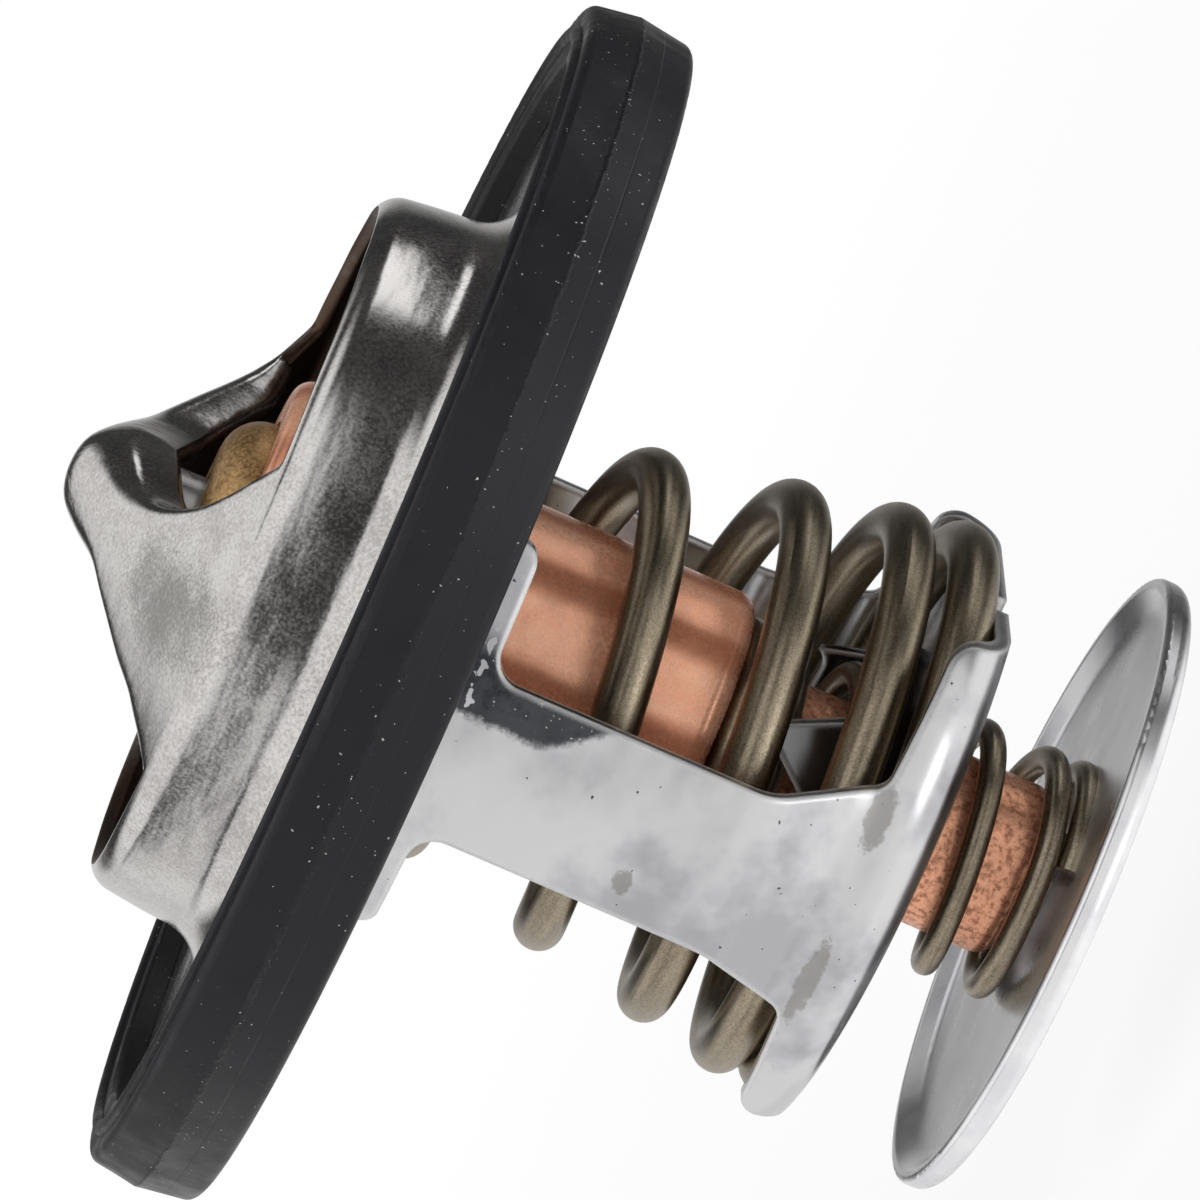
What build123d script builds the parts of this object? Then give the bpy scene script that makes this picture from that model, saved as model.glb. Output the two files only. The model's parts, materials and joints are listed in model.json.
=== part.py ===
from build123d import *
import os
from math import atan2, cos, pi, radians, sin, tan

# Engine thermostat with a bypass valve. A wax element hangs under the nose of a drawn
# steel frame. Warm wax pushes the piston out against the nose, so the element moves down,
# opens the main valve against the large coil spring, and closes the bypass port with the
# disc on its tail.
# Sizes are millimetres. The axis is Z with the nose up, and the bridge legs and lower arms
# lie along Y. Heights whose names begin with z_ are from the upper face of the rubber seal.
# The finished pieces are lifted so that the tail pin's head stands at Z = 0.

# Running and seating clearances
running_gap = 0.06
seat_gap = 0.25

# Rubber seal ring round the flange
seal_cover = 2.1
seal_crown = 0.5
seal_grip = 1.8
seal_height = 7.3
seal_lip_inset = 2.0
seal_lip_height = 0.45
seal_lip_width = 1.1
seal_edge_round = 0.7
seal_inner_round = 0.4

# Upper frame: flange, collar and bridge, drawn from one sheet
frame_sheet = 1.0
flange_outer_r = 36.4
z_flange_top = -2.0
flange_bend_r = 3.4
collar_foot_r = 23.8
collar_top_r = 23.0
z_collar_top = 5.9
collar_round = 1.6
z_nose = 17.4
nose_round = 5.0
window_r = 21.9
window_corner_r = 1.2
leg_half_width = 3.6
leg_pinch = 0.45
leg_pinch_at = 4.6
leg_spread_angle = 30.0
z_lip_at_nose = 12.4
z_lip_at_rim = 6.5
lip_end_gap = 0.2

# Lower frame: two arms and a dished spring seat, pressed from one strip
strip_sheet = 0.95
foot_outer_r = 31.0
foot_bend_r = 2.4
arm_outer_r = 24.4
root_half_width = 12.7
z_root_end = -9.5
arm_half_width = 5.2
arm_bend_r = 6.0
z_arm_step = -27.6
z_bowl_top = -33.0
bowl_outer_r = 22.0
bowl_bend_r = 4.0
flare_half_width = 7.6
z_flare_end = -33.8
wing_half_width = 16.2
z_wing_top = -34.7
z_seat_floor = -38.2
seat_bend_r = 3.0
neck_gap = 0.3
neck_bend_r = 2.0
z_neck_top = -27.9
neck_notches = 4
neck_notch_depth = 3.0
neck_notch_top = 12.4
neck_notch_floor = 8.0
neck_notch_round = 1.8
neck_turn = -12.0
notch_width = 3.0
notch_depth = 1.1
notch_offset = 3.2
root_round = 1.2
arm_root_round = 1.8
arm_step_round = 6.0
flare_round = 1.2
wing_round = 1.6

# Wax element
piston_r = 2.5
piston_round = 2.2
piston_seat_gap = 0.12
piston_point_length = 4.0
piston_point_r = 1.2
z_piston_end = -15.7
guide_boss_r = 7.2
z_guide_top = 9.3
guide_dome_r = 2.6
wiper_depth = 1.0
wiper_width = 1.1
wiper_recess = 0.1
z_guide_foot = 3.6
support_washer_height = 0.4
support_washer_gap = 0.2
boot_flange_height = 0.8
boot_outer_r = 4.4
boot_floor = 1.5
boot_gap = 0.1
boot_end_round = 1.2
cup_outer_r = 9.25
cup_wall = 0.9
cup_floor = 3.2
z_cup_floor = -24.9
cup_corner_r = 1.3
head_outer_r = 10.6
z_head_foot = 1.5
z_head_top = 6.6
head_round = 1.3
head_foot_round = 0.4
crimp_inner_r = 7.5

# Main valve and its rubber edge
valve_sheet = 1.0
valve_hub_r = 14.2
valve_drop = 1.5
valve_step_width = 2.2
valve_bend_r = 2.0
valve_rim_bend_r = 1.6
valve_fit_gap = 0.02
valve_seal_inner_r = 19.6
valve_seal_edge = 0.6
valve_seal_height = 1.0
valve_seal_skirt = 0.6
valve_seal_bevel = 0.45

# Tail: sleeve, pin and bypass disc
tail_length = 21.8
sleeve_outer_r = 5.6
sleeve_round = 1.2
pin_r = 3.5
pin_socket = 2.2
pin_head_r = 7.0
pin_head_height = 1.4
pin_head_round = 0.3
bypass_travel = 1.4
sleeve_stop_gap = 0.1
disc_outer_r = 20.4
disc_sheet = 0.8
disc_rim_height = 1.8
disc_rim_width = 2.3
disc_rim_round = 0.9
disc_floor_round = 1.4
disc_lip_round = 0.4

# Springs, right-handed with closed and ground ends
main_wire = 3.2
main_top_r = 12.8
main_foot_r = 18.9
main_active_turns = 3.75
main_foot_pitch = 4.1
main_foot_angle = 160.0
bypass_wire = 1.65
bypass_outer_r = 8.15
bypass_active_turns = 4.5
bypass_foot_pitch = 4.4
bypass_foot_angle = -63.0
closed_turns = 1.0
closed_pitch_ratio = 1.02
points_per_turn = 12

# Heights that follow from the sizes above
z_flange_under = z_flange_top - frame_sheet
seal_inner_r = flange_outer_r - seal_grip
seal_outer_r = flange_outer_r + seal_cover
seal_lip_r = seal_outer_r - seal_lip_inset
neck_bore_r = cup_outer_r + neck_gap
z_valve_hub = z_head_foot - valve_sheet
z_valve_face = z_head_foot - valve_drop
valve_seal_outer_r = collar_foot_r - frame_sheet - seat_gap
valve_outer_r = valve_seal_outer_r - valve_seal_edge
z_cup_inside = z_cup_floor + cup_floor
z_boot_top = z_guide_foot - support_washer_height
z_boot_foot = z_boot_top - boot_flange_height
z_seat_inside = z_seat_floor + strip_sheet
element_inner_r = cup_outer_r - cup_wall
head_inner_r = head_outer_r - cup_wall
z_crimp_under = z_head_top - cup_wall
z_sleeve_end = z_cup_floor - tail_length
z_disc_face = z_sleeve_end - bypass_travel - sleeve_stop_gap
z_disc_back = z_disc_face - disc_sheet
z_pin_end = z_disc_back - pin_head_height
lift = -z_pin_end


# Turns a closed section, radius across and height up, round the axis
def turned(section):
    return revolve(Plane.XZ * section, Axis.Z)


# A closed section from its corner points, with some corners rounded
def rounded(points, rounds):
    section = make_face(Polyline(*points, close=True))
    for point, radius in rounds:
        corner = section.vertices().sort_by_distance(Vector(*point, 0))[0]
        section = fillet(corner, radius)
    return section


# A plain ring from two radii and two heights
def ring(inner_r, outer_r, z_low, z_high):
    width = outer_r - inner_r
    middle = (inner_r + outer_r) / 2
    height = z_high - z_low
    return turned(Pos(middle, (z_low + z_high) / 2) * Rectangle(width, height))


# A bent sheet: the outer line with its bend radii, thickened to one side
def sheet_section(points, bends, thickness, side):
    line = FilletPolyline(*points, radius=bends)
    return make_face(offset(line, thickness, side=side, kind=Kind.ARC, closed=True))


def rubber_seal():
    z_low = -seal_height
    z_mid = (z_flange_top + z_flange_under) / 2
    z_part_line = -seal_height / 2
    inner = seal_inner_r
    outer = seal_outer_r
    outline = [
        (inner, -seal_lip_height), (outer, -seal_lip_height),
        (outer + seal_crown, z_part_line), (outer, z_low), (inner, z_low),
    ]
    section = rounded(outline, [(outline[0], seal_inner_round), (outline[1], seal_edge_round),
                                (outline[3], seal_edge_round), (outline[4], seal_inner_round)])
    lip = Pos(seal_lip_r, -seal_lip_height) * Ellipse(seal_lip_width / 2, seal_lip_height)
    mouth_r = inner - frame_sheet
    groove_r = (mouth_r + flange_outer_r) / 2
    groove = Pos(groove_r, z_mid) * Rectangle(flange_outer_r - mouth_r, frame_sheet)
    return turned(section + lip - groove)


# The plan outline of one bridge window, on the +X side
def window_outline():
    angle = radians(90 - leg_spread_angle)
    corner = Vector(window_r * cos(angle), window_r * sin(angle))
    pinch = Vector(leg_half_width - leg_pinch, leg_pinch_at)
    nose_side = ThreePointArc((pinch.X, -pinch.Y), (leg_half_width, 0), pinch)
    spread = TangentArc(pinch, corner, tangent=nose_side % 1)
    mirrored = mirror(spread, about=Plane.XZ)
    rim = ThreePointArc(corner, (window_r, 0), (corner.X, -corner.Y))
    outline = make_face([*nose_side.edges(), *spread.edges(), *rim.edges(), *mirrored.edges()])
    corners = outline.vertices().group_by(Axis.X)[-1]
    return fillet(corners, window_corner_r)


def nose_line():
    slope = atan2(z_nose - z_collar_top, collar_top_r)
    flat = 1.1 * nose_round * tan(slope / 2)
    return [(0, z_nose), (flat, z_nose), (collar_top_r, z_collar_top),
            (collar_foot_r, z_flange_top), (flange_outer_r, z_flange_top)]


def upper_frame():
    bends = [nose_round, collar_round, flange_bend_r]
    section = sheet_section(nose_line(), bends, frame_sheet, Side.RIGHT)
    shell = turned(section)
    window = window_outline()
    openings = window + mirror(window, about=Plane.YZ)
    tall = z_nose + frame_sheet
    cutter = extrude(openings, tall)
    # The window edges turn down as a lip that is deepest beside the nose
    inner_openings = offset(window, frame_sheet, kind=Kind.ARC)
    lips = inner_openings - window
    lips = lips + mirror(lips, about=Plane.YZ)
    lips = lips & Circle(window_r - lip_end_gap)
    lip_walls = extrude(lips, tall)
    dome_line = FilletPolyline(*nose_line(), radius=bends)
    below = Polyline((flange_outer_r, z_flange_top), (flange_outer_r, z_flange_under),
                     (0, z_flange_under), (0, z_nose))
    dome = turned(make_face([*dome_line.edges(), *below.edges()]))
    hollow = turned(make_face(Polyline(
        (0, z_lip_at_nose), (window_r, z_lip_at_rim), (window_r, -frame_sheet),
        (0, -frame_sheet), close=True)))
    return shell - cutter + ((lip_walls & dome) - hollow)


# The cutter of one notch in the neck's rim, on the +X side
def neck_notch():
    z_notch = z_neck_top - neck_notch_depth
    top = neck_notch_top / 2
    floor = neck_notch_floor / 2
    outline = [(top, z_neck_top + strip_sheet), (top, z_neck_top), (floor, z_notch),
               (-floor, z_notch), (-top, z_neck_top), (-top, z_neck_top + strip_sheet)]
    rounds = [(outline[2], neck_notch_round), (outline[3], neck_notch_round)]
    return extrude(Plane.YZ * rounded(outline, rounds), neck_bore_r + 2 * strip_sheet)


def lower_frame():
    points = [
        (foot_outer_r, z_flange_under - strip_sheet), (arm_outer_r, z_flange_under - strip_sheet),
        (arm_outer_r, z_arm_step), (bowl_outer_r, z_bowl_top),
        (bowl_outer_r, z_seat_floor), (neck_bore_r, z_seat_floor), (neck_bore_r, z_neck_top),
    ]
    bends = [foot_bend_r - strip_sheet, arm_bend_r, bowl_bend_r, seat_bend_r, neck_bend_r]
    strip = turned(sheet_section(points, bends, strip_sheet, Side.RIGHT))
    half = [
        (root_half_width, z_flange_under + strip_sheet), (root_half_width, z_root_end),
        (arm_half_width, z_root_end), (arm_half_width, z_arm_step),
        (flare_half_width, z_flare_end), (wing_half_width, z_wing_top),
        (wing_half_width, z_seat_floor - strip_sheet),
    ]
    other = [(-x, z) for x, z in reversed(half)]
    rounds = [root_round, arm_root_round, arm_step_round, flare_round, wing_round]
    face = make_face(Polyline(*half, *other, close=True))
    for (x, z), radius in zip(half[1:6], rounds):
        for place in ((x, z), (-x, z)):
            corner = face.vertices().sort_by_distance(Vector(*place, 0))[0]
            face = fillet(corner, radius)
    blank = extrude(Plane.XZ * face, foot_outer_r + strip_sheet, both=True)
    notch = Box(2 * notch_depth, notch_width, 3 * strip_sheet)
    frame = strip & blank
    for side in (1, -1):
        frame -= Pos(side * wing_half_width, -side * notch_offset, z_seat_floor) * notch
    for place in PolarLocations(0, neck_notches, start_angle=neck_turn):
        frame -= place * neck_notch()
    return frame


def piston():
    z_top = z_nose - frame_sheet - piston_seat_gap
    z_taper = z_piston_end + piston_point_length
    outline = [(0, z_top), (piston_r, z_top), (piston_r, z_taper),
               (piston_point_r, z_piston_end), (0, z_piston_end)]
    return turned(rounded(outline, [(outline[1], piston_round)]))


def piston_guide():
    bore = piston_r + running_gap
    wiper_r = bore + wiper_width
    foot_r = head_inner_r
    outline = [
        (wiper_r, z_guide_top), (guide_boss_r, z_guide_top), (guide_boss_r, z_crimp_under),
        (foot_r, z_crimp_under), (foot_r, z_guide_foot), (bore, z_guide_foot),
        (bore, z_guide_top - wiper_depth), (wiper_r, z_guide_top - wiper_depth),
    ]
    return turned(rounded(outline, [(outline[1], guide_dome_r)]))


def piston_wiper():
    bore = piston_r + running_gap
    return ring(bore, bore + wiper_width, z_guide_top - wiper_depth, z_guide_top - wiper_recess)


def support_washer():
    return ring(piston_r + support_washer_gap, head_inner_r, z_boot_top, z_guide_foot)


def rubber_boot():
    bore = piston_r + boot_gap
    z_bore_end = z_piston_end - boot_gap
    z_end = z_bore_end - boot_floor
    outline = [
        (bore, z_boot_top), (head_inner_r, z_boot_top), (head_inner_r, z_boot_foot),
        (boot_outer_r, z_boot_foot), (boot_outer_r, z_end), (0, z_end),
        (0, z_bore_end), (bore, z_bore_end),
    ]
    return turned(rounded(outline, [(outline[4], boot_end_round)]))


def wax_charge():
    z_end = z_piston_end - boot_gap - boot_floor
    outline = [
        (boot_outer_r, z_boot_foot), (element_inner_r, z_boot_foot),
        (element_inner_r, z_cup_inside), (0, z_cup_inside), (0, z_end), (boot_outer_r, z_end),
    ]
    return turned(rounded(outline, [(outline[5], boot_end_round)]))


def wax_cup():
    z_socket = z_cup_floor + pin_socket
    outline = [
        (crimp_inner_r, z_head_top), (head_outer_r, z_head_top), (head_outer_r, z_head_foot),
        (cup_outer_r, z_head_foot), (cup_outer_r, z_cup_floor), (pin_r, z_cup_floor),
        (pin_r, z_socket), (0, z_socket), (0, z_cup_inside), (element_inner_r, z_cup_inside),
        (element_inner_r, z_boot_foot), (head_inner_r, z_boot_foot),
        (head_inner_r, z_crimp_under), (crimp_inner_r, z_crimp_under),
    ]
    rounds = [(outline[1], head_round), (outline[2], head_foot_round),
              (outline[4], cup_corner_r)]
    return turned(rounded(outline, rounds))


def main_valve():
    step_end = valve_hub_r + valve_step_width
    points = [(cup_outer_r + valve_fit_gap, z_head_foot), (valve_hub_r, z_head_foot),
              (step_end, z_valve_face), (valve_outer_r, z_valve_face)]
    return turned(sheet_section(points, [valve_bend_r, valve_rim_bend_r], valve_sheet, Side.RIGHT))


def valve_seal():
    z_top = z_valve_face + valve_seal_height
    z_skirt = z_valve_face - valve_seal_skirt
    outline = [
        (valve_seal_inner_r, z_top), (valve_seal_outer_r - valve_seal_bevel, z_top),
        (valve_seal_outer_r, z_valve_face), (valve_seal_outer_r, z_skirt),
        (valve_outer_r, z_skirt), (valve_outer_r, z_valve_face),
        (valve_seal_inner_r, z_valve_face),
    ]
    return turned(make_face(Polyline(*outline, close=True)))


def tail_sleeve():
    outline = [(pin_r, z_cup_floor), (sleeve_outer_r, z_cup_floor),
               (sleeve_outer_r, z_sleeve_end), (pin_r, z_sleeve_end)]
    return turned(rounded(outline, [(outline[2], sleeve_round)]))


def tail_pin():
    z_top = z_cup_floor + pin_socket
    outline = [(0, z_top), (pin_r, z_top), (pin_r, z_disc_back),
               (pin_head_r, z_disc_back), (pin_head_r, z_pin_end), (0, z_pin_end)]
    return turned(rounded(outline, [(outline[3], pin_head_round), (outline[4], pin_head_round)]))


def bypass_disc():
    wall_top = z_disc_back + disc_rim_height
    outline = [
        (pin_r + running_gap, z_disc_face), (disc_outer_r - disc_rim_width, z_disc_face),
        (disc_outer_r - disc_sheet, wall_top), (disc_outer_r, wall_top),
        (disc_outer_r, z_disc_back), (pin_r + running_gap, z_disc_back),
    ]
    rounds = [(outline[1], disc_floor_round), (outline[2], disc_lip_round),
              (outline[3], disc_lip_round), (outline[4], disc_rim_round)]
    return turned(rounded(outline, rounds))


# A right-handed coil between two flat seats. Its ends close up and are ground flat, and its
# pitch changes evenly from the top to the one given at its foot.
def coil_spring(z_top, z_foot, wire, top_r, foot_r, active_turns, foot_pitch, foot_angle):
    closed_pitch = closed_pitch_ratio * wire
    closed_height = closed_turns * closed_pitch
    active_height = z_top - z_foot - 2 * closed_height
    mean_pitch = active_height / active_turns
    top_pitch = 2 * mean_pitch - foot_pitch
    total_turns = active_turns + 2 * closed_turns
    steps = round(total_turns * points_per_turn)
    path = []
    for step in range(steps + 1):
        turn = total_turns * step / steps
        active = min(max(turn - closed_turns, 0), active_turns)
        closed = min(turn, closed_turns) + max(turn - closed_turns - active_turns, 0)
        climb = foot_pitch * active + (top_pitch - foot_pitch) * active ** 2 / active_turns / 2
        height = closed * closed_pitch + climb
        share = min(max(climb / active_height, 0), 1)
        mean_r = foot_r + (top_r - foot_r) * share - wire / 2
        angle = radians(foot_angle) + 2 * pi * turn
        path.append((mean_r * cos(angle), mean_r * sin(angle), z_foot + height))
    line = Spline(*path)
    wire_round = Plane(origin=line @ 0, z_dir=line % 0) * Circle(wire / 2)
    coil = sweep(wire_round, path=line)
    span = 4 * foot_r
    grind = Pos(0, 0, (z_top + z_foot) / 2) * Box(span, span, z_top - z_foot)
    return coil & grind


def main_spring():
    return coil_spring(z_valve_hub, z_seat_inside, main_wire, main_top_r, main_foot_r,
                       main_active_turns, main_foot_pitch, main_foot_angle)


def bypass_spring():
    return coil_spring(z_cup_floor, z_disc_face, bypass_wire, bypass_outer_r, bypass_outer_r,
                       bypass_active_turns, bypass_foot_pitch, bypass_foot_angle)


pieces = [
    upper_frame, lower_frame, rubber_seal, piston, piston_guide, piston_wiper, support_washer,
    rubber_boot, wax_charge, wax_cup, main_valve, valve_seal, main_spring, tail_sleeve,
    tail_pin, bypass_disc, bypass_spring,
]

os.makedirs("parts", exist_ok=True)
for piece in pieces:
    solid = Pos(0, 0, lift) * piece()
    export_step(solid, f"parts/{piece.__name__}.step")
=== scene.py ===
import bpy
import json
import math
import bmesh
from mathutils import Matrix, Vector, noise


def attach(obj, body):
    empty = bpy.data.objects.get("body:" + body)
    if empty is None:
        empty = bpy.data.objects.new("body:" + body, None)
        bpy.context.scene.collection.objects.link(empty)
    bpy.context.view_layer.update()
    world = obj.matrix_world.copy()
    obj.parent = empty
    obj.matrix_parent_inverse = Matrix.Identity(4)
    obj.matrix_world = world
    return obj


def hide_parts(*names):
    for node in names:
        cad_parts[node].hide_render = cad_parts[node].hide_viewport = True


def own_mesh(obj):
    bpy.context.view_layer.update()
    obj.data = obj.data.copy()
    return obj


# Engine thermostat standing on its tail pin. Metres, with the nose up.
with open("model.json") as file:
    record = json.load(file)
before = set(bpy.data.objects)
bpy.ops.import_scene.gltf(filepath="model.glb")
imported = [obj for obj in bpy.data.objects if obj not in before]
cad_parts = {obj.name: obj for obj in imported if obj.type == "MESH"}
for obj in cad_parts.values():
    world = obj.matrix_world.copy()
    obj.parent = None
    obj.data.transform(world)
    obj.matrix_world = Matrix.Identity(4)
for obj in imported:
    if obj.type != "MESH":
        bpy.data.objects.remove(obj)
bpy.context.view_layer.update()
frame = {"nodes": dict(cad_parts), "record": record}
nodes = frame["nodes"]
mm = 0.001
print("frame loaded:", len(nodes), "pieces")


# A value in a node tree, which adds Math nodes as it is worked with
class Wire:
    def __init__(self, tree, socket):
        self.tree = tree
        self.socket = socket

    def maths(self, operation, *values):
        made = self.tree.nodes.new("ShaderNodeMath")
        made.operation = operation
        for slot, value in zip(made.inputs, values):
            plugIn(self.tree, slot, value)
        return Wire(self.tree, made.outputs[0])

    def __add__(self, other):
        return self.maths("ADD", self, other)

    def __sub__(self, other):
        return self.maths("SUBTRACT", self, other)

    def __rsub__(self, other):
        return self.maths("SUBTRACT", other, self)

    def __mul__(self, other):
        return self.maths("MULTIPLY", self, other)

    def __truediv__(self, other):
        return self.maths("DIVIDE", self, other)

    def __gt__(self, other):
        return self.maths("GREATER_THAN", self, other)

    def __lt__(self, other):
        return self.maths("LESS_THAN", self, other)

    def __pow__(self, other):
        return self.maths("POWER", self, other)

    def __abs__(self):
        return self.maths("ABSOLUTE", self)

    def larger(self, other):
        return self.maths("MAXIMUM", self, other)


def plugIn(tree, slot, value):
    if isinstance(value, Wire):
        tree.links.new(value.socket, slot)
    elif isinstance(value, tuple) and len(value) == 3 and slot.type == "RGBA":
        slot.default_value = (*value, 1.0)
    else:
        slot.default_value = value


def splitUp(tree, value):
    made = tree.nodes.new("ShaderNodeSeparateXYZ")
    plugIn(tree, made.inputs[0], value)
    return [Wire(tree, socket) for socket in made.outputs]


def smoothStep(tree, value, low, high, lowOut=0.0, highOut=1.0):
    made = tree.nodes.new("ShaderNodeMapRange")
    made.interpolation_type = "SMOOTHSTEP"
    steps = {"Value": value, "From Min": low, "From Max": high, "To Min": lowOut, "To Max": highOut}
    for key, number in steps.items():
        plugIn(tree, made.inputs[key], number)
    return Wire(tree, made.outputs[0])


# How far a place is from the middle of an oval spot, squared, with 1 on the spot's edge
def fromSpot(across, up, middleAcross, middleUp, halfWidth, halfHeight):
    sideways = (across - middleAcross) / halfWidth
    upwards = (up - middleUp) / halfHeight
    return sideways ** 2.0 + upwards ** 2.0


# One material, with the nodes that its finish is made of. Noise is given as its size in
# millimetres, detail and roughness, and a range as its start and end, with what they become.
class Finish:
    def __init__(self, name, **fixed):
        self.material = bpy.data.materials.new(name)
        self.material.use_nodes = True
        self.tree = self.material.node_tree
        self.shader = self.tree.nodes["Principled BSDF"]
        for socket, value in fixed.items():
            self.put(socket.replace("_", " "), value)
        place = self.node("TexCoord", {}, {}, "Object")
        self.place = self.node("VectorMath", {"operation": "SCALE"}, {0: place, "Scale": 1 / mm})

    def put(self, socket, value):
        plugIn(self.tree, self.shader.inputs[socket], value)

    def node(self, kind, settings, sockets, output=0):
        made = self.tree.nodes.new("ShaderNode" + kind)
        for key, value in settings.items():
            setattr(made, key, value)
        for key, value in sockets.items():
            plugIn(self.tree, made.inputs[key], value)
        return Wire(self.tree, made.outputs[output])

    def noise(self, grain, at=None):
        size, detail, rough = grain
        spots = {"Vector": at or self.place, "Scale": 1 / size, "Detail": detail,
                 "Roughness": rough}
        return self.node("TexNoise", {}, spots, "Fac")

    def between(self, value, low, high, lowOut=0.0, highOut=1.0):
        return smoothStep(self.tree, value, low, high, lowOut, highOut)

    # 1 where the value is 0, fading out at a half width on both sides
    def stripe(self, value, half):
        return self.between(abs(value), half, 0.0)

    def mix(self, share, first, second):
        return self.node("Mix", {"data_type": "RGBA"}, {0: share, 6: first, 7: second}, 2)

    def stretched(self, x, y, z):
        scale = {0: self.place, 1: (x, y, z)}
        return self.node("VectorMath", {"operation": "MULTIPLY"}, scale)

    def dot(self, first, second):
        both = {0: first, 1: second}
        return self.node("VectorMath", {"operation": "DOT_PRODUCT"}, both, "Value")

    def normal(self):
        return self.node("NewGeometry", {}, {}, "Normal")

    def split(self):
        return splitUp(self.tree, self.place)

    # Turned coordinates in millimetres: distance from the axis, way round it, and height
    def polar(self, roundScale=1.0, highScale=1.0):
        x, y, z = self.split()
        radius = (x * x + y * y) ** 0.5
        angle = x.maths("ARCTAN2", y, x)
        packed = {"X": radius, "Y": angle * roundScale, "Z": z * highScale}
        return self.node("CombineXYZ", {}, packed), radius, angle, z

    def bump(self, height, depth=mm, **more):
        return self.node("Bump", {}, {"Height": height, "Distance": depth, **more})


# Camera: the photograph's view of the part, which lies on its side in the picture
cameraFit = {
    "axisTurn": 23.5,          # degrees, the part's axis below the picture's level line
    "tilt": 5.35,              # degrees, how far the view looks down past the nose side
    "partTurn": 15.7,          # degrees, the bridge legs away from the line of sight
    "sealCentre": (330.3, 576),
    "pictureWidth": 1200,
    "distance": 430 * mm,
    "focal": 7000,             # in pixels of the photograph
    "sensor": 36,
    "sealTop": 50.4 * mm,
}


def makeCamera():
    fit = cameraFit
    turn = math.radians(fit["axisTurn"])
    tilt = math.radians(fit["tilt"])
    nose = Vector((-math.cos(turn) * math.cos(tilt), -math.sin(turn) * math.cos(tilt),
                   -math.sin(tilt)))
    side = Vector((math.sin(turn), -math.cos(turn), 0))
    partToView = Matrix((side, nose.cross(side), nose)).transposed()
    half = fit["pictureWidth"] / 2
    reach = fit["distance"]
    offset = Vector(((fit["sealCentre"][0] - half) / fit["focal"] * reach,
                     (fit["sealCentre"][1] - half) / fit["focal"] * reach, reach))
    about = Matrix.Rotation(math.radians(fit["partTurn"]), 3, "Z")
    place = about @ (partToView.transposed() @ -offset) + Vector((0, 0, fit["sealTop"]))
    right, down, forward = (about @ row for row in partToView)
    facing = Matrix((right, -down, -forward)).transposed()
    data = bpy.data.cameras.new("viewCamera")
    data.sensor_width = fit["sensor"]
    data.lens = fit["focal"] * fit["sensor"] / fit["pictureWidth"]
    camera = bpy.data.objects.new("viewCamera", data)
    camera.matrix_world = Matrix.Translation(place) @ facing.to_4x4()
    bpy.context.scene.collection.objects.link(camera)
    bpy.context.scene.camera = camera
    return camera


camera = makeCamera()
print("camera placed at", [round(c, 4) for c in camera.matrix_world.translation])


# Floor, surround and lights
studio = {
    "floorSize": 6.0,
    "floorDrop": 8.3 * mm,   # below the tail at rest, so the disc clears it at full lift
    "floorColour": (0.93, 0.93, 0.93),
    "floorRough": 0.9,
    "floorShine": 0.1,
    "fadeFrom": 120.0,       # millimetres from the axis
    "fadeTo": 420.0,
    "floorGlow": 0.8,
    "worldLight": 0.75,
    "middle": (0, 0, 34 * mm),
    "lampSize": 0.6,
    "mainLamp": ((0.52, -0.47, 0.12), 3.0),     # place from the middle in metres, power
    "fillLamp": ((-0.55, -0.25, 0.45), 1.5),
    "room": 0.05,
    # What metal mirrors. Degrees round from +X: middle, half width, soft edge. Sine of the rise:
    # lowest and its soft edge, highest and its soft edge. Then the strength.
    "cards": {
        "left": (-110.0, 88.0, 12.0, 0.22, 0.05, 1.2, 0.05, 1.0),
        "crown": (-130.0, 160.0, 15.0, 0.66, 0.11, 1.2, 0.05, 0.95),
        "front": (-98.0, 84.0, 6.0, -0.9, 0.03, -0.03, 0.03, 0.9),
        "leftLow": (-160.0, 57.0, 9.0, -0.9, 0.03, 0.1, 0.02, 0.88),
        "leftHigh": (-160.0, 57.0, 9.0, 0.17, 0.02, 1.2, 0.05, 0.95),
        "side": (-54.0, 16.0, 6.0, -0.78, 0.07, -0.46, 0.08, 2.3),
        "overhead": (31.0, 17.0, 2.5, 0.07, 0.03, 0.22, 0.03, 1.4),
        "edge": (24.0, 14.0, 4.0, -0.35, 0.03, -0.04, 0.03, 0.8),
        "back": (125.0, 38.0, 22.0, -1.0, 0.1, 0.25, 0.1, 0.75),
        "below": (-60.0, 180.0, 1.0, -2.0, 0.1, -0.55, 0.15, 1.0),
    },
}


def makeFloor():
    size = studio["floorSize"] / 2
    corners = [(across * size, back * size, -studio["floorDrop"])
               for across, back in ((-1, -1), (1, -1), (1, 1), (-1, 1))]
    mesh = bpy.data.meshes.new("floor")
    mesh.from_pydata(corners, [], [(0, 1, 2, 3)])
    floor = bpy.data.objects.new("floor", mesh)
    bpy.context.scene.collection.objects.link(floor)
    paint = Finish("floorPaint", Base_Color=studio["floorColour"],
                   Roughness=studio["floorRough"], Specular_IOR_Level=studio["floorShine"])
    radius = paint.polar()[1]
    far = paint.between(radius, studio["fadeFrom"], studio["fadeTo"], studio["floorGlow"])
    glow = paint.node("Emission", {}, {"Color": (1, 1, 1), "Strength": 1.0})
    shown = paint.node("LightPath", {}, {}, "Is Camera Ray")
    both = {0: far * shown, 1: Wire(paint.tree, paint.shader.outputs[0]), 2: glow}
    mixed = paint.node("MixShader", {}, both)
    output = paint.tree.nodes["Material Output"]
    paint.tree.links.new(mixed.socket, output.inputs["Surface"])
    mesh.materials.append(paint.material)
    floor.visible_glossy = False


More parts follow.
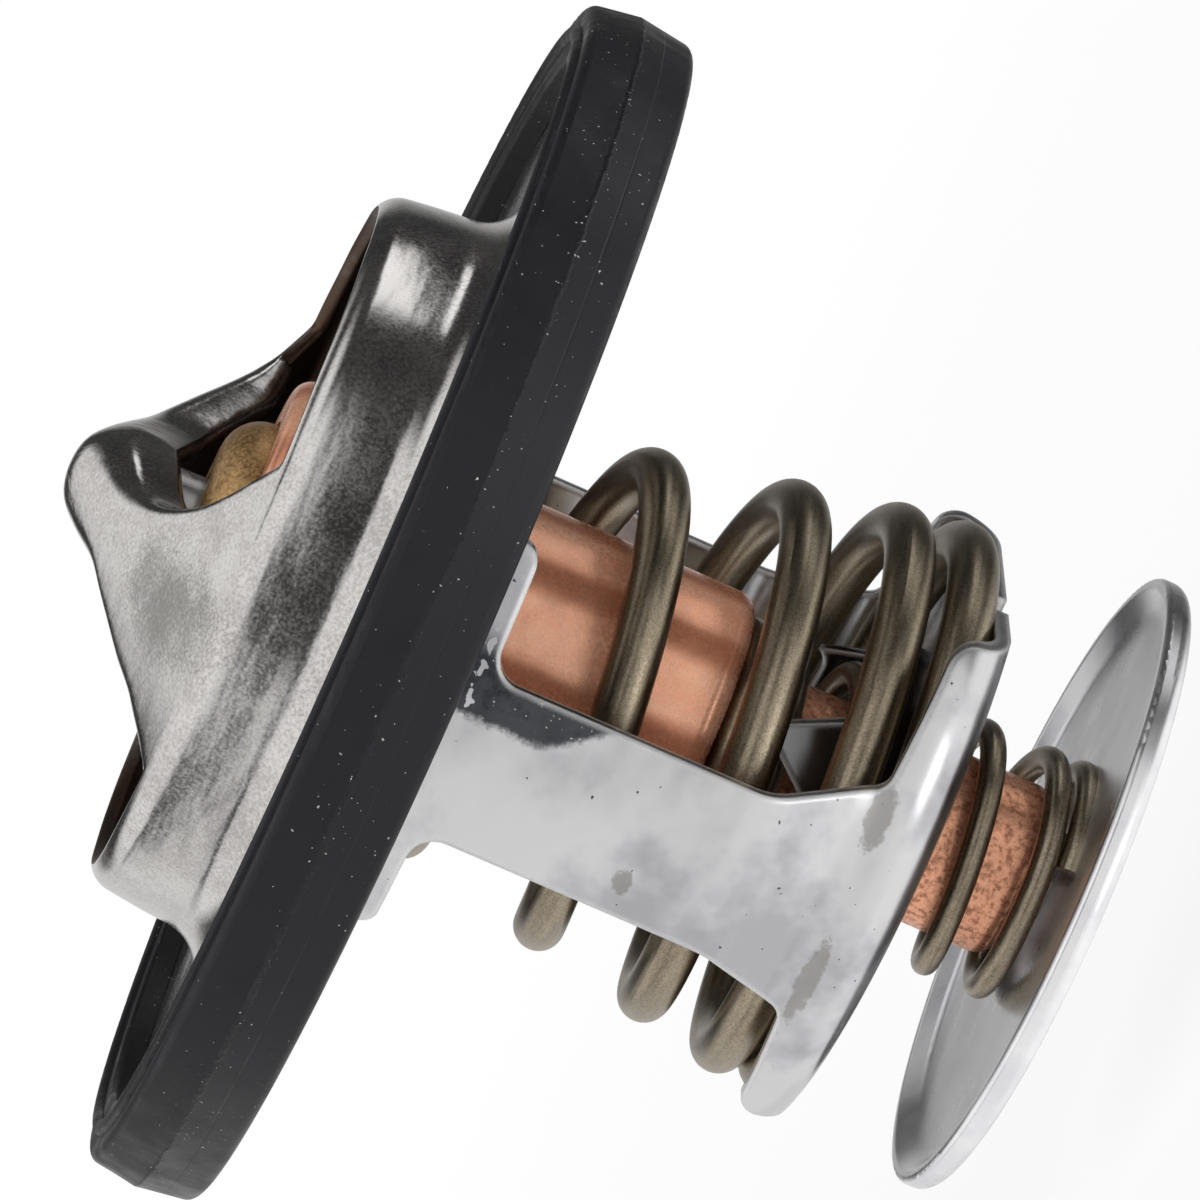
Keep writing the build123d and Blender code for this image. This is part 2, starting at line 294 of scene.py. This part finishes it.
def makeWorld():
    world = bpy.data.worlds.new("surround")
    world.use_nodes = True
    bpy.context.scene.world = world
    tree = world.node_tree
    paths = tree.nodes.new("ShaderNodeLightPath")
    shown = Wire(tree, paths.outputs["Is Camera Ray"])
    glossy = Wire(tree, paths.outputs["Is Glossy Ray"])
    way = Wire(tree, tree.nodes.new("ShaderNodeTexCoord").outputs["Generated"])
    x, y, z = splitUp(tree, way)
    mirrored = studio["room"]
    for degrees, half, soft, low, lowFade, high, highFade, strength in studio["cards"].values():
        turn = math.radians(degrees)
        ahead = x * math.cos(turn) + y * math.sin(turn)
        across = y * math.cos(turn) - x * math.sin(turn)
        away = abs(x.maths("ARCTAN2", across, ahead))
        wide = smoothStep(tree, away, math.radians(half + soft), math.radians(half - soft))
        tall = smoothStep(tree, z, low - lowFade, low + lowFade)
        tall = tall * smoothStep(tree, z, high + highFade, high - highFade)
        mirrored = (wide * tall * strength).larger(mirrored)
    base = studio["worldLight"]
    strength = shown * (1 - base) + glossy * (mirrored - base) + base
    sky = tree.nodes["Background"]
    sky.inputs["Color"].default_value = (1, 1, 1, 1)
    plugIn(tree, sky.inputs["Strength"], strength)


def makeLamp(name):
    away, power = studio[name]
    middle = Vector(studio["middle"])
    data = bpy.data.lights.new(name, "AREA")
    data.size = studio["lampSize"]
    data.energy = power
    lamp = bpy.data.objects.new(name, data)
    lamp.location = middle + Vector(away)
    lamp.rotation_euler = (-Vector(away)).to_track_quat("-Z", "Y").to_euler()
    lamp.visible_glossy = False
    bpy.context.scene.collection.objects.link(lamp)


makeFloor()
makeWorld()
makeLamp("mainLamp")
makeLamp("fillLamp")
bpy.context.scene.view_settings.view_transform = "Standard"
print("studio ready")


def drawnSteel():
    look = {
        "light": (0.7, 0.68, 0.66),
        "dark": (0.42, 0.4, 0.39),
        "tone": (0.36, 0.62),
        "rough": (0.3, 0.7, 0.1, 0.22),
        "peel": (0.22, 3.0, 0.6),
        "peelDepth": 0.003,
        "cloud": (7.0, 4.0, 0.6),
        "waves": (1.6, 2.0, 0.5),
        "wavesRound": 7.0,
        "wavesDepth": 0.04,
        "swell": (9.0, 1.0, 0.4),
        "swellDepth": 0.12,
        # Painted shade on the near leg, a darker place: middle across and back, half width and
        # length
        "paintedLegShade": (-0.4, -17.3, 3.2, 5.4),
        "paintedLegShadeFade": (1.6, -0.2),
        "paintedLegShadeRagged": (2.5, 2.0),
        "paintedLegShadeShare": 0.8,
        "blotch": (0.2, 0.19, 0.18),
        # The stained inner side of the collar, found by its facing the axis
        "stain": (0.1, 0.065, 0.045),
        "stainFacing": (0.0, -0.3),
        "stainCloud": (0.3, 0.5, 0.55, 1.0),
        "stainRough": 0.3,
    }
    paint = Finish("drawnSteel", Metallic=1.0)
    peel = paint.noise(look["peel"])
    cloud = paint.noise(look["cloud"])
    swell = paint.noise(look["swell"])
    spots, radius, angle, height = paint.polar(look["wavesRound"])
    waves = paint.noise(look["waves"], spots)
    mottle = peel * 0.5 + cloud * 0.5
    clean = paint.mix(paint.between(mottle, *look["tone"]), look["dark"], look["light"])
    x, y, z = paint.split()
    # Painted shade: a darker ragged place on the near leg
    byCloud, byPeel = look["paintedLegShadeRagged"]
    ragged = (cloud - 0.5) * byCloud + (peel - 0.5) * byPeel
    paintedLegShade = paint.between(fromSpot(x, y, *look["paintedLegShade"]) + ragged, *look["paintedLegShadeFade"])
    clean = paint.mix(paintedLegShade * look["paintedLegShadeShare"], clean, look["blotch"])
    facing = paint.dot(paint.normal(), paint.stretched(1, 1, 0))
    inside = paint.between(facing / radius, *look["stainFacing"])
    inside = inside * paint.between(cloud, *look["stainCloud"])
    paint.put("Base Color", paint.mix(inside, clean, look["stain"]))
    paint.put("Roughness", paint.between(mottle, *look["rough"]) + inside * look["stainRough"])
    form = peel * look["peelDepth"] + waves * look["wavesDepth"] + swell * look["swellDepth"]
    paint.put("Normal", paint.bump(form))
    return paint.material


def rolledSteel():
    look = {
        "light": (0.7, 0.7, 0.71),
        "dark": (0.44, 0.44, 0.455),
        "tone": (0.35, 0.6),
        "rough": (0.3, 0.7, 0.13, 0.24),
        "cloud": (9.0, 4.0, 0.6),
        "grain": (0.7, 4.0, 0.75),
        "waves": (6.0, 2.0, 0.5),
        "wavesDepth": 0.1,
        "fine": (0.25, 2.0, 0.5),
        "fineDepth": 0.001,
        # Darker, rougher places on the near side, in millimetres: middle across and up, half width,
        # height. The first two are rubbed; the last darkens the middle of the dent
        "rubbed": [(6.0, 16.4, 2.0, 0.75), (-4.9, 16.0, 3.0, 0.6), (-2.9, 28.9, 0.8, 0.6)],
        "rubbedFade": (1.4, 0.6),
        "rubbedRagged": 3.0,
        "rubbedShare": 0.65,
        "rubbedRough": 0.25,
        "worn": (0.32, 0.3, 0.275),
        "pits": (0.45, 1.0, 0.5),
        "pitLimits": (0.77, 0.79),
        "pitRough": 0.3,
        "pit": (0.13, 0.115, 0.1),
        # The seal's mirror image, painted on as a dark reflection: a ragged band whose start moves
        # out along the arm's edge, broken by chips and by a row of beads at the seal
        "shadow": (0.03, 0.033, 0.04),
        "shadowStart": (37.0, 31.5, 2.4, 5.4),
        "shadowFade": (-0.1, 0.6),
        "shadowStop": (8.5, 6.0),
        "shadowFoot": (29.5, 31.0),
        "shadowCloud": (0.7, 1.1, 1.0, 0.92),
        "shadowRagged": 1.1,
        "chips": (0.4, 2.0, 0.7),
        "chipLimits": (0.67, 0.7),
        "beads": (0.55, 1.0, 0.5),
        "beadRow": 41.5,
        "beadFall": 0.8,
        "beadLimits": (0.41, 0.45),
        # Sheared edges are rolled over and catch the light: the rounding is real, and the lighter
        # colour along them is a painted highlight
        "edge": (0.9, 0.9, 0.9),
        "edgeRadius": 0.6 * mm,
        "edgeTurn": (0.995, 0.93),
        "edgeRough": 0.3,
        # Painted shade inside the neck, close to the axis
        "inner": (0.2, 0.2, 0.205),
        "innerRing": (190.0, 140.0),   # square millimetres, distance from the axis squared
        # A shallow dent on the near arm: middle across and up, half width and height
        "dent": (-2.9, 29.0, 2.4, 2.4),
        "dentDepth": 0.13,
    }
    paint = Finish("rolledSteel", Metallic=1.0)
    cloud = paint.noise(look["cloud"])
    fine = paint.noise(look["fine"])
    waves = paint.noise(look["waves"])
    grain = paint.noise(look["grain"])
    x, y, z = paint.split()
    nearSide = y < 0.0
    worn = 0.0
    for spot in look["rubbed"]:
        away = fromSpot(x, z, *spot) + (grain - 0.5) * look["rubbedRagged"]
        worn = (paint.between(away, *look["rubbedFade"]) * nearSide).larger(worn)
    pits = paint.between(paint.noise(look["pits"]), *look["pitLimits"])
    # Painted reflection of the seal: a dark ragged band on the near arm, beside the seal
    start = paint.between(z, *look["shadowStart"])
    fromStart = x + (grain - 0.5) * look["shadowRagged"] - start
    sealReflection = paint.between(fromStart, *look["shadowFade"]) * nearSide
    sealReflection = sealReflection * paint.between(x, *look["shadowStop"]) * paint.between(z, *look["shadowFoot"])
    sealReflection = sealReflection * paint.between(cloud + grain, *look["shadowCloud"])
    chips = paint.between(paint.noise(look["chips"]), *look["chipLimits"])
    beads = paint.noise(look["beads"]) - abs(z - look["beadRow"]) * look["beadFall"]
    chips = paint.between(beads, *look["beadLimits"]).larger(chips)
    clean = paint.mix(paint.between(cloud, *look["tone"]), look["dark"], look["light"])
    clean = paint.mix(pits, clean, look["pit"])
    clean = paint.mix(worn * look["rubbedShare"], clean, look["worn"])
    clean = paint.mix(sealReflection * (1.0 - chips), clean, look["shadow"])
    # Painted shade inside the neck, close to the axis
    clean = paint.mix(paint.between(x * x + y * y, *look["innerRing"]), clean, look["inner"])
    # Painted highlight: sheared edges found by the bevel are given a lighter colour
    rolled = paint.node("Bevel", {"samples": 6}, {"Radius": look["edgeRadius"]})
    edge = paint.between(paint.dot(rolled, paint.normal()), *look["edgeTurn"])
    paint.put("Base Color", paint.mix(edge, clean, look["edge"]))
    rough = paint.between(cloud, *look["rough"]) + worn * look["rubbedRough"]
    paint.put("Roughness", rough + pits * look["pitRough"] + edge * look["edgeRough"])
    dent = fromSpot(x, z, *look["dent"]) * -1.0
    dent = dent.maths("EXPONENT", dent) * look["dentDepth"] * nearSide
    form = fine * look["fineDepth"] + waves * look["wavesDepth"] - dent
    paint.put("Normal", paint.bump(form, Normal=rolled))
    return paint.material


def polishedSteel():
    look = {"light": (0.94, 0.94, 0.95), "dark": (0.8, 0.8, 0.82), "tone": (0.35, 0.65),
            "cloud": (5.0, 4.0, 0.6), "rough": (0.3, 0.7, 0.26, 0.34)}
    paint = Finish("polishedSteel", Metallic=1.0)
    cloud = paint.noise(look["cloud"])
    clean = paint.mix(paint.between(cloud, *look["tone"]), look["dark"], look["light"])
    paint.put("Base Color", clean)
    paint.put("Roughness", paint.between(cloud, *look["rough"]))
    return paint.material


def ringRubber():
    look = {
        "black": (0.008, 0.008, 0.01),
        "grey": (0.018, 0.0175, 0.02),
        "shine": 0.24,
        # The outer side starts this far from the axis. Lines and half widths are millimetres too.
        "outside": 38.0,
        # The mould's parting line, ragged and raised, with the ring a little proud below it
        "partLine": 46.75,
        "partHalf": 0.22,
        "partHeight": 0.16,
        "partFade": (0.06, -0.06),
        "ragged": (0.9, 3.0, 0.7),
        "raggedReach": 0.5,
        "belowHeight": 0.05,
        # Fine grooves round the crown and on the face
        "edgeLine": 45.2,
        "edgeHalf": 0.12,
        "edgeDepth": 0.05,
        "faceLine": 37.1,
        "faceHalf": 0.14,
        "faceDepth": 0.06,
        # Dust gathers in patches and along the parting line
        "speck": (0.36, 0.35, 0.33),
        "dust": (0.24, 1.0, 0.5),
        "dustLimits": (0.775, 0.8),
        "dustHalf": 1.2,
        "dustAtLine": 0.035,
        "patches": (6.0, 2.0, 0.5),
        "patchLimits": (0.45, 0.65),
        "dustInPatch": 0.03,
        # Painted light: the lower half is painted greyer, as if lit, most of all towards the sides
        "sides": (12, 32),
        "sideShare": 1.2,
        "lowerShare": 0.3,
        "smear": (3.5, 4.0, 0.6),
        "smearShare": 0.3,
        "rough": (0.2, 0.7, 0.3, 0.55),
        "lowerGloss": 0.12,
        "skin": (0.3, 3.0, 0.6),
        "skinDepth": 0.012,
    }
    paint = Finish("ringRubber", Specular_IOR_Level=look["shine"])
    spots, radius, angle, height = paint.polar(look["outside"])
    x, y, z = paint.split()
    outside = radius > look["outside"]
    ragged = paint.noise(look["ragged"], spots) - 0.5
    fromLine = height + ragged * look["raggedReach"] - look["partLine"]
    below = paint.between(fromLine, *look["partFade"]) * outside
    ridge = paint.stripe(fromLine, look["partHalf"]) * outside
    groove = paint.stripe(height - look["edgeLine"], look["edgeHalf"]) * outside
    ring = paint.stripe(radius - look["faceLine"], look["faceHalf"])
    dust = paint.noise(look["dust"])
    dust = dust + paint.stripe(fromLine, look["dustHalf"]) * outside * look["dustAtLine"]
    patches = paint.between(paint.noise(look["patches"]), *look["patchLimits"])
    specks = paint.between(dust + patches * look["dustInPatch"], *look["dustLimits"])
    smear = paint.noise(look["smear"])
    side = paint.between(abs(x), *look["sides"])
    # Painted light: the lower half is lightened towards grey, most of all towards the sides
    paintedLight = below * (side * look["sideShare"] + look["lowerShare"])
    shade = paint.mix(paintedLight + smear * look["smearShare"], look["black"], look["grey"])
    paint.put("Base Color", paint.mix(specks, shade, look["speck"]))
    paint.put("Roughness", paint.between(smear - below * look["lowerGloss"], *look["rough"]))
    form = ridge * (ragged + 0.5) * look["partHeight"] + below * look["belowHeight"]
    form = form - groove * look["edgeDepth"] - ring * look["faceDepth"]
    paint.put("Normal", paint.bump(form + paint.noise(look["skin"]) * look["skinDepth"]))
    return paint.material


def turnedBrass():
    look = {"light": (0.62, 0.4, 0.18), "dark": (0.34, 0.2, 0.085), "tone": (0.35, 0.65),
            "mottle": (0.25, 3.0, 0.65), "mottleDepth": 0.012 * mm, "rough": (0.3, 0.7, 0.34, 0.5)}
    paint = Finish("turnedBrass", Metallic=0.85)
    mottle = paint.noise(look["mottle"])
    clean = paint.mix(paint.between(mottle, *look["tone"]), look["dark"], look["light"])
    paint.put("Base Color", clean)
    paint.put("Roughness", paint.between(mottle, *look["rough"]))
    paint.put("Normal", paint.bump(mottle, look["mottleDepth"]))
    return paint.material


def cupCopper():
    look = {
        "light": (1.0, 0.55, 0.36),
        "dark": (0.95, 0.43, 0.26),
        "tone": (0.35, 0.65),
        "bands": (1.6, 3.0, 0.6),
        "bandsRound": 6.0,
        "bandsHigh": 0.12,
        "mottle": (0.3, 3.0, 0.65),
        "rough": (0.3, 0.7, 0.22, 0.32),
        "dimples": (2.2, 1.0, 0.5),
        "dimpleDepth": 0.06 * mm,
        # Painted reflection: darker bands along the cup, by the angle round it, stand in for the
        # coils mirrored in it
        "reflectionBandColour": (0.48, 0.165, 0.08),
        "streakCount": 9.0,
        "streakRagged": 1.4,
        "streakLimits": (-0.1, 1.0),
        "streakShare": 0.75,
    }
    paint = Finish("cupCopper", Metallic=0.55)
    spots, radius, angle, height = paint.polar(look["bandsRound"], look["bandsHigh"])
    bands = paint.noise(look["bands"], spots)
    mottle = paint.noise(look["mottle"])
    share = paint.between(bands * 0.5 + mottle * 0.5, *look["tone"])
    clean = paint.mix(share, look["dark"], look["light"])
    # Painted reflection: dark bands round the cup
    reflectionBands = angle * look["streakCount"] + (bands - 0.5) * look["streakRagged"]
    reflectionBands = paint.between(reflectionBands.maths("COSINE", reflectionBands), *look["streakLimits"])
    paint.put("Base Color", paint.mix(reflectionBands * look["streakShare"], clean, look["reflectionBandColour"]))
    paint.put("Roughness", paint.between(mottle, *look["rough"]))
    paint.put("Normal", paint.bump(paint.noise(look["dimples"]), look["dimpleDepth"]))
    return paint.material


def tailCopper():
    look = {"light": (0.96, 0.47, 0.29), "dark": (0.48, 0.2, 0.115), "tone": (0.36, 0.56),
            "mottle": (0.5, 4.0, 0.7), "mottleDepth": 0.015 * mm, "rough": (0.3, 0.7, 0.4, 0.26)}
    paint = Finish("tailCopper", Metallic=0.8)
    mottle = paint.noise(look["mottle"])
    clean = paint.mix(paint.between(mottle, *look["tone"]), look["dark"], look["light"])
    paint.put("Base Color", clean)
    paint.put("Roughness", paint.between(mottle, *look["rough"]))
    paint.put("Normal", paint.bump(mottle, look["mottleDepth"]))
    return paint.material


def springWire():
    look = {"light": (0.44, 0.37, 0.265), "dark": (0.22, 0.18, 0.13), "tone": (0.32, 0.68),
            "streaks": (0.5, 3.0, 0.6), "streaksRound": 2.0, "streakShare": 0.4,
            "fine": (0.14, 2.0, 0.6), "fineShare": 0.6, "fineDepth": 0.004 * mm,
            "rough": (0.3, 0.7, 0.3, 0.36)}
    paint = Finish("springWire", Metallic=1.0)
    spots, radius, angle, height = paint.polar(look["streaksRound"])
    streaks = paint.noise(look["streaks"], spots)
    fine = paint.noise(look["fine"])
    share = streaks * look["streakShare"] + fine * look["fineShare"]
    clean = paint.mix(paint.between(share, *look["tone"]), look["dark"], look["light"])
    paint.put("Base Color", clean)
    paint.put("Roughness", paint.between(streaks, *look["rough"]))
    paint.put("Normal", paint.bump(fine, look["fineDepth"]))
    return paint.material


# Pieces that are hardly seen: one colour, with a roughness that varies
def plainFinish(name, colour, metallic, cloud, rough):
    paint = Finish(name, Base_Color=colour, Metallic=metallic)
    paint.put("Roughness", paint.between(paint.noise(cloud), *rough))
    return paint.material


# The bridge frame: flange, collar, two legs and the pinched nose, all of one sheet.
# Millimetres; heights are above the seal's upper face.
bridge = {
    "sheet": 1.0,
    "sealTop": 50.4,
    "noseTop": 17.4,
    "noseRound": 5.0,
    "noseFlat": 1.3,
    "collarTop": (23.0, 5.9),
    "collarRound": 1.9,
    "collarFoot": (23.8, -2.0),
    "flangeBend": 2.9,
    "roundSteps": 8,           # faces round each bend of the section
    "flatSteps": 5,
    "wallSteps": 8,
    "wallBulge": 0.05,
    "flangeEdge": 36.3,
    "rim": 21.9,
    "columns": 144,            # round the whole ring
    "legColumns": 23,
    "legStart": {"near": -27.5, "far": -32.5},   # degrees from the leg's middle, at the rim
    "rows": 31,                # along each leg
    "curlFrom": 7.0,           # where the rows begin to curve with the rim, and over how far
    "curlOver": 12.0,
    "lipSteps": 5,
    "lipTilt": 0.35,
    "edgeRoll": (2.2, 1.0),    # at the nose, at the rim
    "rollOver": 14.0,          # how far out from the axis the roll gets smaller
    "rollEnd": 7.0,            # how far in from the rim it dies out
    "nearRight": [(0, 3.7), (3, 3.4), (6.5, 2.7), (9.3, 2.7), (13.5, 4.4), (18, 7.4), (19.5, 8.8)],
    "nearLeft": [(0, 3.8), (3.2, 3.6), (6.6, 3.8), (9, 5.0), (12.5, 6.5), (16.3, 7.5), (18.8, 8.5)],
    "farRight": [(0, 3.7), (3, 3.5), (6.5, 3.5), (9, 4.1), (12, 4.9), (15, 5.6), (19, 6.9)],
    "farLeft": [(0, 3.8), (3, 3.5), (6.5, 3.1), (9, 4.1), (12, 5.6), (15, 7.4), (19, 10.2)],
    "lipFoot": [(0, 11.4), (6, 10.0), (11, 7.9), (14, 6.7), (22, 6.4)],
    "dents": 0.05,
    "dentSize": 5.0,
}


# Height or width between listed stations, on a smooth curve through them
def along(stations, where):
    if where <= stations[0][0]:
        return stations[0][1]
    for index in range(len(stations) - 1):
        (start, first), (stop, last) = stations[index], stations[index + 1]
        if where <= stop:
            before = stations[max(index - 1, 0)]
            after = stations[min(index + 2, len(stations) - 1)]
            slopeIn = (last - before[1]) / (stop - before[0])
            slopeOut = (after[1] - first) / (after[0] - start)
            span = stop - start
            t = (where - start) / span
            return ((2 * t ** 3 - 3 * t ** 2 + 1) * first
                    + (t ** 3 - 2 * t ** 2 + t) * span * slopeIn
                    + (3 * t ** 2 - 2 * t ** 3) * last + (t ** 3 - t ** 2) * span * slopeOut)
    return stations[-1][1]


# Eases from 0 to 1 and holds there
def ease(share):
    share = min(1.0, max(0.0, share))
    return share * share * (3 - 2 * share)


# Points along a line of straight runs with rounded corners
def roundedLine(corners, rounds, steps):
    points = [corners[0]]
    for index, radius in enumerate(rounds):
        before, corner, after = (Vector(p) for p in corners[index:index + 3])
        back = (before - corner).normalized()
        ahead = (after - corner).normalized()
        half = back.angle(ahead) / 2
        reach = radius / math.tan(half)
        centre = corner + (back + ahead).normalized() * radius / math.sin(half)
        first = corner + back * reach - centre
        last = corner + ahead * reach - centre
        sweep = first.angle_signed(last)
        for step in range(steps + 1):
            turn = Matrix.Rotation(-sweep * step / steps, 2)
            points.append(tuple(centre + turn @ first))
    points.append(corners[-1])
    return points


def domeHeight(radius):
    b = bridge
    slope = (b["noseTop"] - b["collarTop"][1]) / (b["collarTop"][0] - b["noseFlat"])
    fall = math.atan(slope)
    reach = b["noseRound"] * math.tan(fall / 2)
    start = b["noseFlat"] - reach
    if radius <= start:
        return b["noseTop"]
    if radius < b["noseFlat"] + reach * math.cos(fall):
        drop = b["noseRound"] - math.sqrt(b["noseRound"] ** 2 - (radius - start) ** 2)
        return b["noseTop"] - drop
    return b["noseTop"] - slope * (radius - b["noseFlat"])


# Rings of the flange, the collar's wall and its rounded top. Returns where the last one starts.
def drawCollar(points, faces):
    b = bridge
    corners = [(b["flangeEdge"], b["collarFoot"][1]), b["collarFoot"], b["collarTop"],
               (b["rim"], domeHeight(b["rim"]))]
    section = roundedLine(corners, [b["flangeBend"], b["collarRound"]], b["roundSteps"])
    outer, bendStart = section[:2]
    flat = [(outer[0] + (bendStart[0] - outer[0]) * part / b["flatSteps"], outer[1])
            for part in range(1, b["flatSteps"])]
    top = b["roundSteps"] + 2
    wall = []
    for part in range(1, b["wallSteps"]):
        share = part / b["wallSteps"]
        radius, height = Vector(section[top - 1]).lerp(Vector(section[top]), share)
        wall.append((radius + b["wallBulge"] * math.sin(math.pi * share), height))
    profile = [outer, *flat, *section[1:top], *wall, *section[top:]]
    count = b["columns"]
    for radius, height in profile:
        for column in range(count):
            angle = math.radians(-90 + 360 * column / count)
            points.append((radius * math.cos(angle), radius * math.sin(angle),
                           height + b["sealTop"]))
    for row in range(len(profile) - 1):
        for column in range(count):
            after = (column + 1) % count
            faces.append((row * count + column, row * count + after,
                          (row + 1) * count + after, (row + 1) * count + column))
    return (len(profile) - 1) * count


# The collar's points that a leg grows from
def rimRow(rimStart, side):
    b = bridge
    step = 360 / b["columns"]
    first = b["legStart"]["near" if side < 0 else "far"]
    row = []
    for column in range(b["legColumns"] + 1):
        fromLeg = first + column * step
        angle = fromLeg if side < 0 else 180 - fromLeg
        row.append(rimStart + round(angle / step) % b["columns"])
    return row


# One row of points across a leg, with its sides rolled over
def legRow(reach, side):
    b = bridge
    name = "near" if side < 0 else "far"
    start = b["legStart"][name]
    stop = start + b["legColumns"] * 360 / b["columns"]
    limits = []
    for edge, rimTurn in (("Left", start), ("Right", stop)):
        atRim = b["rim"] * abs(math.sin(math.radians(rimTurn)))
        limits.append(along([*b[name + edge], (b["rim"], atRim)], reach))
    left, right = -limits[0], limits[1]
    middleX, half = (left + right) / 2, (right - left) / 2
    curl = ease((reach - b["curlFrom"]) / b["curlOver"])
    atNose, atRim = b["edgeRoll"]
    roll = atNose + (atRim - atNose) * min(1.0, reach / b["rollOver"])
    roll *= ease((b["rim"] - reach) / b["rollEnd"])
    length = half - roll + roll * math.pi / 2
    row = []
    for column in range(b["legColumns"] + 1):
        place = (2 * column / b["legColumns"] - 1) * length
        size, sign = abs(place), math.copysign(1, place)
        if size <= half - roll or roll < 0.01:
            offset, drop = min(size, half), 0.0
        else:
            bend = (size - (half - roll)) / roll
            offset = half - roll + roll * math.sin(bend)
            drop = roll * (1 - math.cos(bend))
        x = middleX + sign * offset
        y = math.sqrt(max(0.0, reach ** 2 - (curl * x) ** 2)) * side
        row.append((x, y, domeHeight(math.hypot(x, y)) - drop + b["sealTop"]))
    return row


# The lips that the window edges turn down into
def drawLips(rows, reaches, points, faces):
    b = bridge
    for column, inward in ((0, 1), (b["legColumns"], -1)):
        strips = []
        for row, reach in zip(rows, reaches):
            x, y, z = points[row[column]]
            foot = along(b["lipFoot"], reach) + b["sealTop"]
            if z - foot < b["sheet"]:
                strips.append(None)
                continue
            strip = [row[column]]
            for part in range(1, b["lipSteps"] + 1):
                share = part / b["lipSteps"]
                strip.append(len(points))
                points.append((x + inward * b["lipTilt"] * share ** 2, y, z + (foot - z) * share))
            strips.append(strip)
        for first, second in zip(strips, strips[1:]):
            if first and second:
                for part in range(b["lipSteps"]):
                    faces.append((first[part], first[part + 1], second[part + 1], second[part]))


# Rows run from the near rim over the nose to the far rim, each from the left edge to the right
def makeBridge():
    b = bridge
    points = []
    faces = []
    rimStart = drawCollar(points, faces)
    rows = [rimRow(rimStart, -1)]
    reaches = []
    for index in range(1, 2 * b["rows"]):
        share = index / b["rows"] - 1
        reach = abs(share) * b["rim"]
        row = legRow(reach, -1 if share < 0 else 1)
        rows.append(list(range(len(points), len(points) + len(row))))
        points.extend(row)
        reaches.append(reach)
    rows.append(rimRow(rimStart, 1))
    for first, second in zip(rows, rows[1:]):
        for column in range(b["legColumns"]):
            faces.append((first[column], second[column], second[column + 1], first[column + 1]))
    drawLips(rows[1:-1], reaches, points, faces)
    return makeSheet("bridgeFrame", points, faces)


# A thin pressed sheet from its outer surface, in millimetres
def makeSheet(name, points, faces):
    b = bridge
    mesh = bpy.data.meshes.new(name)
    mesh.from_pydata([Vector(p) * mm for p in points], [], faces)
    shape = bmesh.new()
    shape.from_mesh(mesh)
    bmesh.ops.recalc_face_normals(shape, faces=shape.faces)
    top = max(shape.faces, key=lambda face: face.calc_center_median().z)
    if top.normal.z < 0:
        bmesh.ops.reverse_faces(shape, faces=shape.faces)
    for point in shape.verts:
        wave = noise.noise(point.co / (b["dentSize"] * mm))
        point.co += point.normal * wave * b["dents"] * mm
    shape.to_mesh(mesh)
    shape.free()
    piece = bpy.data.objects.new(name, mesh)
    bpy.context.scene.collection.objects.link(piece)
    wall = piece.modifiers.new("wall", "SOLIDIFY")
    wall.thickness = b["sheet"] * mm
    wall.offset = -1
    finer = piece.modifiers.new("finer", "SUBSURF")
    finer.levels = finer.render_levels = 1
    for face in mesh.polygons:
        face.use_smooth = True
    return piece


finishes = {
    "frame_steel": drawnSteel(),
    "strip_steel": rolledSteel(),
    "disc_steel": polishedSteel(),
    "piston_steel": plainFinish("groundSteel", (0.62, 0.61, 0.6), 1.0,
                                (1.2, 3.0, 0.6), (0.3, 0.7, 0.22, 0.36)),
    "valve_steel": drawnSteel(),
    "seal_rubber": ringRubber(),
    "inner_rubber": plainFinish("innerRubber", (0.03, 0.03, 0.03), 0.0,
                                (1.5, 3.0, 0.6), (0.3, 0.7, 0.45, 0.6)),
    "guide_brass": turnedBrass(),
    "cup_copper": cupCopper(),
    "tail_copper": tailCopper(),
    "wax": plainFinish("castWax", (0.62, 0.45, 0.3), 0.0,
                       (0.5, 2.0, 0.5), (0.3, 0.7, 0.5, 0.7)),
    "spring_wire": springWire(),
}
for part in frame["record"]["subparts"]:
    piece = nodes[part["node"]]
    piece.data.materials.clear()
    piece.data.materials.append(finishes[part["material_slot"]])


def stand(piece, node, body, slotName):
    piece.data.materials.clear()
    piece.data.materials.append(finishes[slotName])
    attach(piece, body)
    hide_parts(node)


stand(makeBridge(), "upper_frame", "frame", "frame_steel")
print("bridge frame drawn")

# The springs: new piece, body, joint, height in millimetres of the end that stays, and the share of
# the length that is left at the joint's limit.
# Each is copied into its new piece on its body; the last three columns are not used here
coils = {
    "main_spring": ("mainCoil", "frame", "valve_lift", 13.15, 0.788),
    "bypass_spring": ("bypassCoil", "element", "bypass_slide", 25.5, 0.935),
}
for node, (name, body, joint, fixedEnd, keep) in coils.items():
    coil = bpy.data.objects.new(name, nodes[node].data.copy())
    coil.matrix_world = nodes[node].matrix_world
    bpy.context.scene.collection.objects.link(coil)
    stand(coil, node, body, "spring_wire")
    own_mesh(coil)
